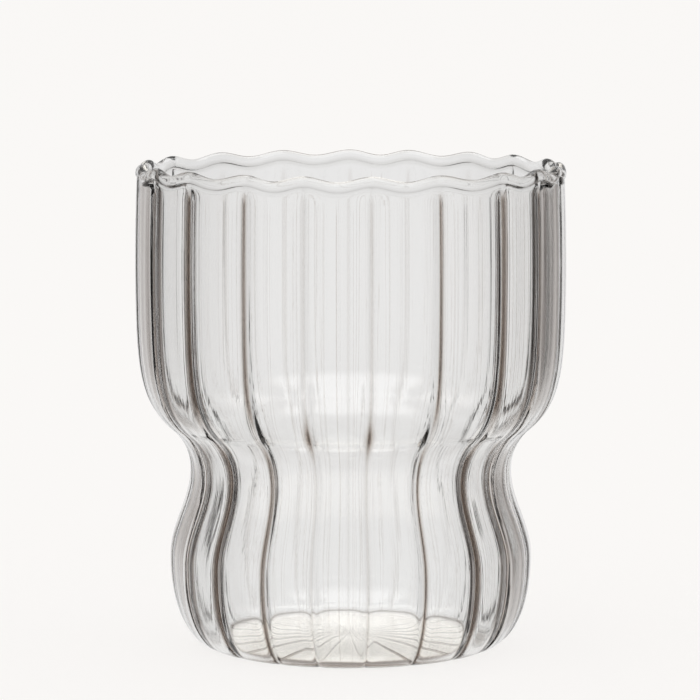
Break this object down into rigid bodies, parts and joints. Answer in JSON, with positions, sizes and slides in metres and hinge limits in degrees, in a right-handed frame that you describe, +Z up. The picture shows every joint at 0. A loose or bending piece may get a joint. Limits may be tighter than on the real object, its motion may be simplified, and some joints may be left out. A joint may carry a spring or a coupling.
{
  "type": "chai glass",
  "caption": "Clear one-piece tea glass with a wide fluted bowl, a narrow waist, a rounded bulb foot and a wavy fire-polished rim.",
  "frame": {"origin": "middle of the flat foot, on the surface that the glass stands on", "axes": "+Z up through the middle of the mouth; -Y is the side that the picture shows"},
  "size_m": [0.0798, 0.0797, 0.09],
  "materials": {
    "clear_glass": "fire-polished clear"
  },
  "bodies": {
    "root": {"glass": "clear_glass"}
  },
  "joints": []
}
